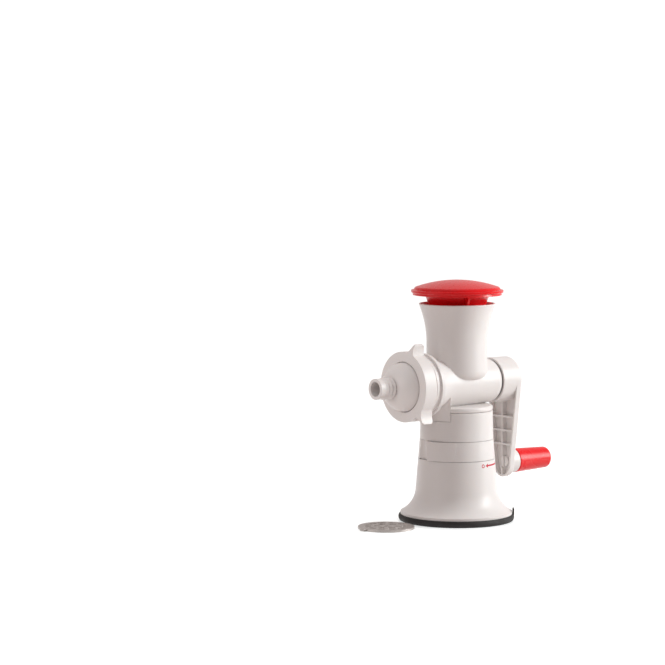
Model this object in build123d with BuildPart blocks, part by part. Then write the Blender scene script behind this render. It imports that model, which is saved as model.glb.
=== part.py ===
from build123d import *
import os
from math import acos, cos, pi, radians, sin, sqrt

# A hand crank meat grinder on a suction base, with every piece that comes apart
# by hand. All sizes are in millimetres and degrees. The origin is on the floor
# under the middle of the base, +Z is up, the barrel runs along X, the meat
# leaves towards -X and the crank is at +X. The crank's arm hangs down.

# ---- gaps --------------------------------------------------------------------------
running_gap = 0.1  # radial, between a shaft and its bearing
hand_gap = 0.3  # between pieces that are taken apart by hand
snug_gap = 0.05  # between pieces that are fixed together

# ---- base: suction pad, skirt, lever collar and turret -----------------------------
pad_radius = 70.0
pad_floor = 3.0
pad_rim_height = 7.5
pad_lip = 2.5  # the pad's rim past the foot of the skirt
pad_tab_width = 12.0
pad_tab_height = 14.0
pad_tab_thickness = 2.0
pad_tab_angle = -41.0

skirt_seat_step = 1.4  # the foot of the skirt is this much wider than its wall
skirt_flare_start = 10.5
skirt_waist_radius = 49.5
skirt_waist_height = 37.0
skirt_wall = 2.8
lever_floor = 75.0  # height of the seam under the lever collar
lever_floor_radius = 46.4
lever_height = 23.6
seam_gap = 0.4
turret_rim_height = 133.0
turret_rim_radius = 43.4
turret_foot_radius = 44.4
turret_wall = 2.8
deck_thickness = 3.0

post_inner_radius = 32.0
neck_radius = 40.0
post_span = 34.0
post_count = 3
first_post_angle = 60.0
base_screw_radius = 1.75
base_screw_head_radius = 3.4
base_screw_head_height = 2.2
base_screw_length = 16.0

lever_travel = 70.0
spoke_width = 6.0
spoke_height = 4.0
spoke_bottom = 80.0
spoke_angle = 25.0  # from each post to the spoke beside it, at the locked stop
grip_edge_angle = 179.0
grip_fade_angle = 228.0
grip_proud = 1.8
scoop_radius = 16.0
scoop_depth = 2.6
scoop_angle = 167.5

cam_radius = 16.0
cam_lift = 3.0
stem_radius = 6.0
pin_radius = 2.0
pin_length = 26.0
cam_play = 0.5
cam_steps = 14
guide_top = 65.0
guide_length = 22.0
guide_wall = 3.2
plunger_foot_radius = 22.0
plunger_foot_height = 3.0

pad_ring_height = 3.0
pad_ring_width = 8.0

# ---- window in the turret rim, filled by the tongue of the body's foot -------------
window_width = 56.0
window_depth = 10.0
window_shelf_thickness = 2.4
window_shelf_edge = -33.0
window_back_width = 34.0
window_back_thickness = 2.4

# ---- grinder body ------------------------------------------------------------------
axis_z = 166.0
barrel_front = -75.0
neck_outer_radius = 36.0
thread_crest_radius = 37.2
thread_pitch = 5.0
thread_width = 2.0
thread_turns = 3
thread_start = 3.0
collar_radius = 38.3
collar_start = -55.0
collar_end = -50.5
barrel_shoulder_radius = 33.5
barrel_waist_x = -25.0
barrel_waist_radius = 29.8
barrel_tail_x = 45.0
barrel_tail_radius = 26.8
barrel_end = 55.0
bore_front_radius = 30.0
bore_rear_radius = 24.6
bore_end = 38.0
bore_groove_count = 12
bore_groove_depth = 0.9
bore_groove_width = 3.4
bore_groove_end = -38.0
seal_seat_radius = 18.0
seal_seat_end = 48.0
rear_hole_radius = 15.5
tab_notch_width = 9.4
tab_notch_depth = 3.0

hopper_radius = 36.8
hopper_wall = 2.7
hopper_mouth_radius = 46.5
hopper_mouth_z = 262.0
hopper_flare_z = 214.0
hopper_bottom_z = 171.0
hopper_bottom_round = 11.0
hopper_rim_round = 0.8

foot_flange_height = 6.5
foot_flange_round = 2.6
foot_plate_thickness = 3.0
foot_rim_width = 6.0
plug_wall = 2.7
plug_depth = 10.0
tongue_top = 152.0

# ---- auger, knife and plates -------------------------------------------------------
knife_thickness = 5.6
plate_gap = 0.2
auger_core_radius = 14.5
auger_front_gap = 0.2  # from the knife's back to the auger's nose
flight_tip_gap = 0.8  # from the flight to the bore
flight_thickness = 3.4
flight_turns = 4
flight_first_pitch = 21.7
flight_pitch_ratio = 1.235
flight_start_angle = 14.0
flange_x = 32.5
flange_thickness = 3.0
journal_radius = 16.2
journal_end = 48.0
tail_end = 73.4
tail_radius = 15.0
tail_root_radius = 12.9
tail_teeth = 8
tail_tooth_width = 5.2
spline_gap = 0.35
tail_socket_radius = 11.2
tail_socket_depth = 14.0
nose_recess_radius = 10.0
nose_recess_depth = 5.0
square_size = 12.4
square_length = 34.0
square_hole_radius = 4.0
square_hole_depth = 12.0
seal_play = 0.45  # along the shaft, beside each ring on the journal
seal_width = 4.5
thrust_width = 3.7
rear_ring_round = 0.9

knife_tip_gap = 0.7  # from the blades' tips to the bore
knife_hub_size = 22.0
square_turn = 45.0  # of the square and of the knife's hub, about the shaft
blade_thickness = 3.4
blade_count = 4
blade_sweep = 42.0

plate_radius = 33.5
plate_thickness = 2.5
plate_tab_width = 8.0
plate_tab_height = 3.0
plate_centre_radius = 4.3
fine_hole_radius = 2.7
fine_rings = ((11.7, 10, 18.0), (17.0, 10, 0.0), (21.4, 10, 18.0), (24.4, 10, 0.0))
coarse_hole_radius = 4.9
coarse_rings = ((12.2, 6, 47.0), (23.2, 12, 4.0))
spare_plate_gap = 6.0  # on the floor, from the pad's rim

# ---- nozzle and ring nut -----------------------------------------------------------
nozzle_rim_radius = 32.5
nozzle_rim_thickness = 2.4
nozzle_notch_width = 9.0
nozzle_notch_depth = 3.2
nozzle_dome_radius = 29.0
nozzle_dome_length = 24.0
nozzle_length = 49.0
nozzle_wall = 2.3
spout_radius = 11.0
spout_rib_height = 2.1
spout_end_height = 1.4
spout_rib_width = 3.8
spout_rib_pitch = 5.4
spout_rib_count = 3
spout_end_length = 7.0
gusset_height = 4.0

ring_outer_radius = 42.0
ring_inner_radius = 37.6
ring_opening_radius = 30.0
ring_wall = 3.9
ring_depth = 17.0
ring_groove_depth = 0.8
ring_lug_count = 3
ring_lug_height = 13.0
ring_lug_angle = 109.0
ring_lug_lean = 16.0
ring_lug_round = 6.0

# ---- pusher and cap ----------------------------------------------------------------
pusher_flange_z = 272.1
pusher_flange_radius = 53.5
pusher_flange_thickness = 2.6
pusher_collar_radius = 46.0
pusher_collar_height = 8.5
pusher_shoulder_radius = 39.0
pusher_waist_radius = 33.2
pusher_waist_drop = 24.0
pusher_foot_radius = 31.2
pusher_wall = 2.5
pusher_length = 85.0
saddle_radius = 70.0
saddle_depth = 7.0
stop_rib_count = 2
stop_rib_drop = 19.0
stop_rib_thickness = 2.2
stop_rib_spread = 5.0  # the ribs widen by this above the hopper's mouth
stop_rib_angle = -114.0

cap_radius = 55.5
cap_height = 15.4
cap_lip_height = 3.2
cap_shoulder_radius = 52.0
cap_crown_radius = 48.5
cap_crown_height = 7.4

# ---- crank -------------------------------------------------------------------------
hub_open_x = 52.5
hub_depth = 30.0
hub_radius = 27.4
hub_wall = 2.6
spline_ring_radius = 19.8
spline_ring_recess = 4.4
spline_tooth_radius = 13.3
spline_root_radius = 15.4
arm_depth = 9.0
arm_floor = 2.5
arm_wall = 2.4
arm_back_round = 3.2
crank_radius = 102.0
arm_end_drop = 4.0  # from the grip's axis down to the middle of the arm's end
arm_end_radius = 14.5
arm_web_thickness = 2.2
arm_rib_drops = (46.0, 63.0, 80.0)
core_disc_radius = 12.8
core_disc_thickness = 3.0
core_boss_radius = 10.6
core_boss_height = 16.0
core_peg_radius = 5.0
core_peg_length = 1.5
washer_outer_radius = 19.4
boss_radius = 14.5
boss_length = 9.0
grip_gap = 0.5
grip_length = 54.0
grip_root_radius = 14.8
grip_tip_radius = 13.0
grip_end_wall = 4.0
grip_bore_radius = 5.2
grip_pin_radius = 5.1
grip_pin_head_radius = 7.0
grip_pin_head_height = 2.6
grip_pin_slot_width = 1.6
grip_pin_slot_depth = 1.4
grip_bearing_length = 30.0
grip_cavity_radius = 9.0
grip_clip_radius = 8.2
grip_clip_thickness = 1.4
grip_pin_overhang = 3.0

# ---- sizes that follow -------------------------------------------------------------
skirt_foot_radius = pad_radius - pad_lip
skirt_seat_radius = skirt_foot_radius - skirt_wall - skirt_seat_step
pad_rim_inner_radius = skirt_seat_radius - hand_gap
lever_top = lever_floor + lever_height
turret_floor = lever_top + seam_gap
lever_top_radius = turret_foot_radius + 0.1
post_radius = (post_inner_radius + neck_radius) / 2
knife_radius = bore_front_radius - knife_tip_gap
knife_front = barrel_front + plate_gap
knife_back = knife_front + knife_thickness
auger_front = knife_back + auger_front_gap
plate_front = barrel_front - plate_thickness
rim_back = plate_front - hand_gap / 3
rim_front = rim_back - nozzle_rim_thickness
ring_back_of_wall = rim_front - hand_gap / 3
ring_front = ring_back_of_wall - ring_wall
nozzle_tip = rim_back - nozzle_length
hub_back = hub_open_x + hub_depth
hub_floor = hub_back - arm_floor
arm_front = hub_back - arm_depth
grip_z = axis_z - crank_radius
boss_end = hub_back + boss_length
grip_start = boss_end + grip_gap
grip_end = grip_start + grip_length
pusher_floor_z = pusher_flange_z - pusher_length
collar_top_z = pusher_flange_z + pusher_collar_height
cap_z = pusher_flange_z + pusher_flange_thickness + 0.1
seal_x = bore_end + seal_play
thrust_x = seal_x + seal_width + seal_play
shaft_axis = Axis((0, 0, axis_z), (1, 0, 0))
grip_axis = Axis((0, 0, grip_z), (1, 0, 0))
square_front = knife_front + plate_gap
square_end = square_front + square_length
washer_start = barrel_end + hand_gap / 3
washer_thickness = hub_open_x + spline_ring_recess - washer_start - hand_gap / 3
half_pitch = 180 / tail_teeth
ring_tooth_width = 2 * (spline_tooth_radius * sin(radians(half_pitch)) - tail_tooth_width / 2
                        - spline_gap) / cos(radians(half_pitch))
stop_rib_bottom = pusher_flange_z - stop_rib_drop
stop_rib_seat = hopper_mouth_radius - hopper_wall - hand_gap
post_angles = [first_post_angle + 360 / post_count * turn for turn in range(post_count)]


def across(x, z=axis_z):
    """The plane square to the shaft at x. Its own x is +Y and its own y is +Z."""
    return Plane(origin=(x, 0, z), x_dir=(0, 1, 0), z_dir=(1, 0, 0))


def polar(radius, angle):
    """The point at this radius and angle about the origin of a sketch."""
    return (radius * cos(radians(angle)), radius * sin(radians(angle)))


def bore_radius(x):
    """The radius of the tapered bore, between its grooves, at x."""
    share = (x - barrel_front) / (bore_end - barrel_front)
    return bore_front_radius + share * (bore_rear_radius - bore_front_radius)


def flight_radius(x):
    """The radius of the auger's flight at x, just inside the bore."""
    return bore_radius(x) - flight_tip_gap


def base_radius(z):
    """The outer radius of the base's upper cone at a height z."""
    share = (z - turret_floor) / (turret_rim_height - turret_floor)
    return turret_foot_radius + share * (turret_rim_radius - turret_foot_radius)


def save(piece, name):
    """Label one finished piece and write it as a STEP file."""
    piece.part.label = name
    export_step(piece.part, f"parts/{name}.step")


os.makedirs("parts", exist_ok=True)

# ---- suction pad: a rubber disc with a rim around the skirt and a pull tab ---------
with BuildPart() as suction_pad:
    with BuildSketch(Plane.XZ):
        with BuildLine():
            Polyline((0, 0), (pad_radius - 1.5, 0))
            ThreePointArc((pad_radius - 1.5, 0), (pad_radius, pad_rim_height / 2),
                          (pad_radius - 1.5, pad_rim_height))
            Polyline((pad_radius - 1.5, pad_rim_height), (pad_rim_inner_radius, pad_rim_height),
                     (pad_rim_inner_radius, pad_floor), (0, pad_floor), (0, 0))
        make_face()
    revolve(axis=Axis.Z)
    tab_foot = (*polar(skirt_foot_radius + hand_gap, pad_tab_angle), pad_rim_height - 1)
    with BuildSketch(Plane(origin=tab_foot, x_dir=(*polar(1, pad_tab_angle), 0), z_dir=(0, 0, 1))):
        Rectangle(pad_tab_thickness, pad_tab_width, align=(Align.MIN, Align.CENTER))
    extrude(amount=pad_tab_height - pad_rim_height + 1)
    fillet(suction_pad.faces().filter_by(Axis.Z).sort_by(Axis.Z)[-1].edges(), 0.8)
save(suction_pad, "suction_pad")

# ---- pad ring: clamps the pad's edge down inside the skirt -------------------------
with BuildPart() as pad_ring:
    ring_outer = skirt_seat_radius - snug_gap
    with BuildSketch(Plane.XY.offset(pad_floor)):
        Circle(ring_outer - 2)
        Circle(ring_outer - 2 - pad_ring_width, mode=Mode.SUBTRACT)
    extrude(amount=pad_ring_height)
save(pad_ring, "pad_ring")

# ---- base skirt: flared shell, deck, plunger guide and the three posts -------------
with BuildPart() as base_skirt:
    with BuildSketch(Plane.XZ):
        with BuildLine():
            lean = (skirt_waist_radius - lever_floor_radius, skirt_waist_height - lever_floor)
            Line((lever_floor_radius, lever_floor), (skirt_waist_radius, skirt_waist_height))
            TangentArc((skirt_waist_radius, skirt_waist_height), (skirt_foot_radius, skirt_flare_start),
                       tangent=lean)
            Polyline((skirt_foot_radius, skirt_flare_start), (skirt_foot_radius, pad_rim_height),
                     (skirt_seat_radius, pad_rim_height), (skirt_seat_radius, skirt_flare_start - 1))
            TangentArc((skirt_waist_radius - skirt_wall, skirt_waist_height),
                       (skirt_seat_radius, skirt_flare_start - 1), tangent=lean)
            Polyline((skirt_waist_radius - skirt_wall, skirt_waist_height),
                     (lever_floor_radius - skirt_wall, lever_floor - deck_thickness),
                     (post_inner_radius - 2, lever_floor - deck_thickness),
                     (post_inner_radius - 2, lever_floor), (lever_floor_radius, lever_floor))
        make_face()
    revolve(axis=Axis.Z)
    guide_reach = lever_floor_radius - skirt_wall / 2
    with BuildSketch(Plane.XY.offset(guide_top - deck_thickness)):
        Circle(guide_reach)
        Circle(stem_radius + running_gap, mode=Mode.SUBTRACT)
    extrude(amount=deck_thickness)
    with BuildSketch(Plane.XY.offset(guide_top - guide_length)):
        Circle(stem_radius + guide_wall)
        Circle(stem_radius + running_gap, mode=Mode.SUBTRACT)
    extrude(amount=guide_length)
    for angle in post_angles:
        with BuildSketch(Plane.XY.offset(lever_floor)):
            with BuildLine():
                a, b = angle - post_span / 2, angle + post_span / 2
                ThreePointArc(polar(neck_radius, a), polar(neck_radius, angle), polar(neck_radius, b))
                Line(polar(neck_radius, b), polar(post_inner_radius, b))
                ThreePointArc(polar(post_inner_radius, b), polar(post_inner_radius, angle),
                              polar(post_inner_radius, a))
                Line(polar(post_inner_radius, a), polar(neck_radius, a))
            make_face()
        extrude(amount=turret_floor - lever_floor)
    with Locations(Plane.XY.offset(turret_floor)):
        with PolarLocations(post_radius, post_count, start_angle=first_post_angle):
            Hole(radius=base_screw_radius, depth=base_screw_length)
save(base_skirt, "base_skirt")

# ---- suction lever: the collar turned by its finger grip, with spokes to the cam ---
with BuildPart() as suction_lever:
    collar_inner = neck_radius + running_gap
    spoke_hub_inner = cam_radius + snug_gap
    with BuildSketch(Plane.XZ):
        Polygon((collar_inner, lever_floor + seam_gap),
                (lever_floor_radius - 0.1, lever_floor + seam_gap),
                (lever_top_radius, lever_top), (collar_inner, lever_top), align=None)
    revolve(axis=Axis.Z)
    with BuildSketch(Plane.XY.offset(lever_floor + seam_gap)):
        with BuildLine():
            edge_root = polar(neck_radius + 2, grip_edge_angle)
            edge_tip = polar(lever_floor_radius + grip_proud, grip_edge_angle)
            fade = polar(lever_floor_radius - 0.6, grip_fade_angle)
            middle_angle = (grip_edge_angle + grip_fade_angle) / 2
            Line(edge_root, edge_tip)
            ThreePointArc(edge_tip, polar(lever_floor_radius + grip_proud * 0.6, middle_angle), fade)
            Line(fade, polar(neck_radius + 2, grip_fade_angle))
            ThreePointArc(polar(neck_radius + 2, grip_fade_angle), polar(neck_radius + 2, middle_angle),
                          edge_root)
        make_face()
    extrude(amount=lever_height - seam_gap)
    with BuildSketch(Plane.XY.offset(lever_floor)):
        with Locations(polar(lever_top_radius + scoop_radius - scoop_depth, scoop_angle)):
            Circle(scoop_radius)
    extrude(amount=lever_height + 1, mode=Mode.SUBTRACT)
    with BuildSketch(Plane.XY.offset(spoke_bottom)):
        Circle(spoke_hub_inner + 4)
        for angle in post_angles:
            turn = angle + spoke_angle
            with Locations(Location((*polar((collar_inner + cam_radius) / 2, turn), 0), (0, 0, turn))):
                Rectangle(collar_inner - cam_radius + 1, spoke_width)
        Circle(spoke_hub_inner, mode=Mode.SUBTRACT)
    extrude(amount=spoke_height)
save(suction_lever, "suction_lever")

# ---- lever cam: two ramps in fine steps under the plunger's pin, with a flat at each end ---
cam_bottom = spoke_bottom
cam_low = spoke_bottom + spoke_height
cam_high = cam_low + cam_lift
with BuildPart() as lever_cam:
    with BuildSketch(Plane.XY.offset(cam_bottom)):
        Circle(cam_radius)
        Circle(stem_radius + hand_gap, mode=Mode.SUBTRACT)
    extrude(amount=cam_high - cam_bottom)
    far = 2 * cam_radius
    step_turn = lever_travel / cam_steps
    for high_angle in (90, 270):
        ramp_foot = high_angle - lever_travel
        for step in range(cam_steps):
            step_start = ramp_foot + step * step_turn
            with BuildSketch(Plane.XY.offset(cam_low + cam_lift * step / cam_steps)):
                Polygon((0, 0), polar(far, step_start), polar(far, step_start + step_turn), align=None)
            extrude(amount=2 * cam_lift, mode=Mode.SUBTRACT)
        low_start = high_angle - 180 + (180 - lever_travel) / 2
        with BuildSketch(Plane.XY.offset(cam_low)):
            Polygon((0, 0), polar(far, low_start), polar(far, ramp_foot), align=None)
        extrude(amount=2 * cam_lift, mode=Mode.SUBTRACT)
save(lever_cam, "lever_cam")

# ---- suction plunger: stem and foot that pull up the middle of the pad -------------
pin_z = cam_high + pin_radius + cam_play
foot_bottom = pad_floor + cam_lift + hand_gap
with BuildPart() as suction_plunger:
    with BuildSketch(Plane.XZ):
        Polygon((0, foot_bottom), (plunger_foot_radius, foot_bottom),
                (plunger_foot_radius, foot_bottom + plunger_foot_height),
                (stem_radius + 4, foot_bottom + plunger_foot_height + 2),
                (stem_radius, foot_bottom + plunger_foot_height + 7),
                (stem_radius, pin_z + pin_radius + 3), (0, pin_z + pin_radius + 3), align=None)
    revolve(axis=Axis.Z)
    with Locations(Plane(origin=(0, 0, pin_z), z_dir=(0, 1, 0))):
        Hole(radius=pin_radius + snug_gap)
save(suction_plunger, "suction_plunger")

with BuildPart() as plunger_pin:
    with Locations(Location((0, 0, pin_z), (90, 0, 0))):
        Cylinder(pin_radius, pin_length)
    chamfer(plunger_pin.edges().filter_by(GeomType.CIRCLE), 0.4)
save(plunger_pin, "plunger_pin")

# ---- base turret: the top shell, screwed down on the posts -------------------------
with BuildPart() as base_turret:
    with BuildSketch(Plane.XZ):
        Polygon((0, turret_floor), (turret_foot_radius, turret_floor),
                (turret_rim_radius, turret_rim_height), (turret_rim_radius - turret_wall, turret_rim_height),
                (turret_foot_radius - turret_wall, turret_floor + deck_thickness),
                (0, turret_floor + deck_thickness), align=None)
    revolve(axis=Axis.Z)
    rim_edges = base_turret.edges().filter_by(GeomType.CIRCLE).group_by(Axis.Z)[-1]
    fillet(rim_edges.sort_by(SortBy.RADIUS)[-1], 0.6)
    shelf_z = turret_rim_height - window_depth
    with BuildSketch(Plane.XY.offset(shelf_z - window_shelf_thickness)):
        Circle(turret_rim_radius - turret_wall / 2)
        with Locations((window_shelf_edge + window_back_thickness, 0)):
            Rectangle(3 * turret_rim_radius, 3 * turret_rim_radius, align=(Align.MIN, Align.CENTER),
                      mode=Mode.SUBTRACT)
    extrude(amount=window_shelf_thickness)
    with Locations((-turret_rim_radius, 0, shelf_z)):
        Box(2 * (turret_rim_radius + window_shelf_edge), window_width, 2 * window_depth,
            align=(Align.CENTER, Align.CENTER, Align.MIN), mode=Mode.SUBTRACT)
    with Locations((window_shelf_edge, 0, shelf_z - window_shelf_thickness)):
        Box(window_back_thickness, window_back_width, window_depth + window_shelf_thickness,
            align=(Align.MIN, Align.CENTER, Align.MIN))
    with Locations(Plane.XY.offset(turret_floor + deck_thickness)):
        with PolarLocations(post_radius, post_count, start_angle=first_post_angle):
            Hole(radius=base_screw_radius + running_gap, depth=deck_thickness)
save(base_turret, "base_turret")

with BuildPart() as base_screws:
    head_z = turret_floor + deck_thickness
    with PolarLocations(post_radius, post_count, start_angle=first_post_angle):
        with Locations((0, 0, head_z)):
            Cylinder(base_screw_head_radius, base_screw_head_height,
                     align=(Align.CENTER, Align.CENTER, Align.MIN))
            Cylinder(base_screw_radius - snug_gap, deck_thickness + base_screw_length - 1,
                     align=(Align.CENTER, Align.CENTER, Align.MAX))
    for angle in post_angles:
        recess = (*polar(post_radius, angle), head_z + base_screw_head_height)
        with Locations(Location(recess, (0, 0, angle))):
            Box(4.4, 1.0, 2.2, mode=Mode.SUBTRACT)
            Box(1.0, 4.4, 2.2, mode=Mode.SUBTRACT)
save(base_screws, "base_screws")

# ---- grinder body: threaded barrel, hopper and foot in one moulding ----------------
plug_outer = min(turret_rim_radius, base_radius(turret_rim_height - plug_depth)) - turret_wall - hand_gap
tongue_half = window_width / 2 - hand_gap
with BuildPart() as bore_groove:
    groove_front = barrel_front - 1
    groove_front_radius = bore_radius(groove_front)
    groove_end_radius = bore_radius(bore_groove_end)
    with BuildSketch(Plane.XZ):
        Polygon((groove_front, axis_z + groove_front_radius - 1),
                (groove_front, axis_z + groove_front_radius + bore_groove_depth),
                (bore_groove_end - 3, axis_z + groove_end_radius + bore_groove_depth),
                (bore_groove_end, axis_z + groove_end_radius - 1), align=None)
    revolve(axis=shaft_axis, revolution_arc=bore_groove_width / bore_front_radius * 180 / pi)

with BuildPart() as grinder_body:
    with BuildSketch(Plane.XZ):
        with BuildLine():
            waist = (barrel_waist_x, axis_z + barrel_waist_radius)
            tail = (barrel_tail_x, axis_z + barrel_tail_radius)
            shoulder = (collar_end, axis_z + barrel_shoulder_radius)
            end = (barrel_end, axis_z + barrel_tail_radius - (barrel_end - barrel_tail_x))
            Polyline((barrel_front, axis_z), (barrel_front, axis_z + neck_outer_radius),
                     (collar_start, axis_z + neck_outer_radius), (collar_start, axis_z + collar_radius),
                     (collar_end, axis_z + collar_radius), shoulder)
            TangentArc(waist, shoulder, tangent=(waist[0] - tail[0], waist[1] - tail[1]))
            Line(waist, tail)
            TangentArc(tail, end, tangent=(1, 0))
            Polyline(end, (barrel_end, axis_z), (barrel_front, axis_z))
        make_face()
    revolve(axis=shaft_axis)
    # hopper, outside
    with BuildSketch(Plane.XZ):
        with BuildLine():
            round_start = (hopper_radius - hopper_bottom_round, hopper_bottom_z)
            round_end = (hopper_radius, hopper_bottom_z + hopper_bottom_round)
            Polyline((0, hopper_mouth_z), (0, hopper_bottom_z), round_start)
            TangentArc(round_start, round_end, tangent=(1, 0))
            Line(round_end, (hopper_radius, hopper_flare_z))
            mouth = (hopper_mouth_radius, hopper_mouth_z)
            TangentArc((hopper_radius, hopper_flare_z), mouth, tangent=(0, 1))
            Line(mouth, (0, hopper_mouth_z))
        make_face()
    revolve(axis=Axis.Z)
    # foot: flange on the turret's rim, and the pedestal up to the barrel
    with BuildSketch(Plane.XZ):
        with BuildLine():
            flange_top = turret_rim_height + foot_flange_height
            inner = turret_rim_radius - foot_flange_round
            lower_round = (inner, turret_rim_height)
            upper_round = (turret_rim_radius, flange_top - foot_flange_round)
            Line((0, turret_rim_height), lower_round)
            lower_end = (turret_rim_radius, turret_rim_height + foot_flange_round)
            TangentArc(lower_round, lower_end, tangent=(1, 0))
            Line(lower_end, upper_round)
            TangentArc(upper_round, (inner, flange_top), tangent=(0, 1))
            Polyline((inner, flange_top), (0, flange_top), (0, turret_rim_height))
        make_face()
    revolve(axis=Axis.Z)
    with BuildSketch(Plane.XY.offset(turret_rim_height)):
        Circle(turret_rim_radius - foot_rim_width)
    extrude(amount=foot_flange_height - foot_plate_thickness, mode=Mode.SUBTRACT)
    with BuildSketch(Plane.XY.offset(turret_rim_height - plug_depth)):
        Circle(plug_outer)
        Circle(plug_outer - plug_wall, mode=Mode.SUBTRACT)
    extrude(amount=plug_depth + 1)
    # the front sector of the plug gives way to the tongue that fills the window
    plug_cut_edge = window_shelf_edge - 3
    with Locations((plug_cut_edge, 0, turret_rim_height)):
        Box(plug_outer + 1 + plug_cut_edge, window_width + 2, plug_depth + 1,
            align=(Align.MAX, Align.CENTER, Align.MAX), mode=Mode.SUBTRACT)
    with BuildSketch(Plane.XY.offset(turret_rim_height - window_depth + hand_gap)):
        Circle(base_radius(turret_rim_height - window_depth / 2))
        with Locations((window_shelf_edge - hand_gap, 0)):
            Rectangle(4 * tongue_half, 4 * tongue_half, align=(Align.MIN, Align.CENTER), mode=Mode.SUBTRACT)
        Rectangle(4 * turret_rim_radius, 2 * tongue_half, mode=Mode.INTERSECT)
    extrude(amount=tongue_top - turret_rim_height + window_depth - hand_gap)
    # bore, seal seat and rear hole
    with BuildSketch(Plane.XZ):
        Polygon((barrel_front, axis_z), (barrel_front, axis_z + bore_front_radius),
                (bore_end, axis_z + bore_rear_radius), (bore_end, axis_z + seal_seat_radius),
                (seal_seat_end, axis_z + seal_seat_radius), (seal_seat_end, axis_z + rear_hole_radius),
                (barrel_end, axis_z + rear_hole_radius), (barrel_end, axis_z), align=None)
    revolve(axis=shaft_axis, mode=Mode.SUBTRACT)
    # hopper, inside
    with BuildSketch(Plane.XZ):
        with BuildLine():
            inner = hopper_radius - hopper_wall
            inner_round = hopper_bottom_round - hopper_wall
            inner_bottom = hopper_bottom_z + hopper_wall
            inner_start = (inner - inner_round, inner_bottom)
            inner_end = (inner, inner_bottom + inner_round)
            mouth_inner = (hopper_mouth_radius - hopper_wall, hopper_mouth_z)
            Polyline((0, hopper_mouth_z), (0, inner_bottom), inner_start)
            TangentArc(inner_start, inner_end, tangent=(1, 0))
            Line(inner_end, (inner, hopper_flare_z))
            TangentArc((inner, hopper_flare_z), mouth_inner, tangent=(0, 1))
            Line(mouth_inner, (0, hopper_mouth_z))
        make_face()
    revolve(axis=Axis.Z, mode=Mode.SUBTRACT)
    fillet(grinder_body.edges().filter_by(GeomType.CIRCLE).group_by(Axis.Z)[-1], hopper_rim_round)
    # thread ridges, and the straight grooves in the mouth of the bore
    for turn in range(thread_turns):
        ridge_x = barrel_front + thread_start + turn * thread_pitch
        with BuildSketch(Plane.XZ):
            root = axis_z + neck_outer_radius - 0.5
            crest = axis_z + thread_crest_radius
            Polygon((ridge_x - 0.7, root), (ridge_x, crest), (ridge_x + thread_width - 1, crest),
                    (ridge_x + thread_width + 0.2, root), align=None)
        revolve(axis=shaft_axis)
    for turn in range(bore_groove_count):
        add(bore_groove.part.rotate(shaft_axis, 360 / bore_groove_count * turn), mode=Mode.SUBTRACT)
    # notch in the front rim for the plate's tab
    with Locations((barrel_front, 0, axis_z + neck_outer_radius)):
        Box(2 * tab_notch_depth, tab_notch_width, 2 * tab_notch_depth, mode=Mode.SUBTRACT)
save(grinder_body, "grinder_body")

# ---- seal ring and thrust ring on the auger's rear journal -------------------------
for name, start, width in (("seal_ring", seal_x, seal_width), ("thrust_ring", thrust_x, thrust_width)):
    with BuildPart() as rear_ring:
        with BuildSketch(across(start)):
            Circle(seal_seat_radius - running_gap)
            Circle(journal_radius + running_gap, mode=Mode.SUBTRACT)
        extrude(amount=width)
        fillet(rear_ring.edges().filter_by(GeomType.CIRCLE).filter_by(
            lambda edge: edge.radius > journal_radius + 1), rear_ring_round)
    save(rear_ring, name)

# ---- auger: core, rear flange, journal, splined tail and a flight of growing pitch ---
flange_back = flange_x + flange_thickness
flange_radius = flight_radius(flange_back)
flight_length = flange_x + 1 - auger_front
flight_path_radius = (auger_core_radius + flange_radius) / 2
with BuildPart() as flight:
    turn_start = 0
    for turn in range(flight_turns):
        pitch = flight_first_pitch * flight_pitch_ratio ** turn
        with BuildLine() as turn_path:
            Helix(pitch, pitch, flight_path_radius, center=(0, 0, turn_start), lefthand=True)
        with BuildSketch(Plane(origin=turn_path.line @ 0, x_dir=(1, 0, 0), z_dir=(0, -1, 0))):
            inner_reach = flight_path_radius - auger_core_radius + 1.5
            outer_reach = max(bore_front_radius, bore_rear_radius) - flight_path_radius
            Polygon((-inner_reach, 0), (outer_reach, 1.0), (outer_reach, flight_thickness),
                    (-inner_reach, flight_thickness + 1.0), align=None)
        sweep(path=turn_path.line, is_frenet=True)
        turn_start += pitch
    with BuildSketch(Plane.XZ):
        Polygon((0, 0), (flight_radius(auger_front), 0), (flight_radius(flange_x + 1), flight_length),
                (0, flight_length), align=None)
    revolve(axis=Axis.Z, mode=Mode.INTERSECT)
flight_start = (0, *polar(1, flight_start_angle))
flight_plane = Plane(origin=(auger_front, 0, axis_z), x_dir=flight_start, z_dir=(1, 0, 0))

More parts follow.
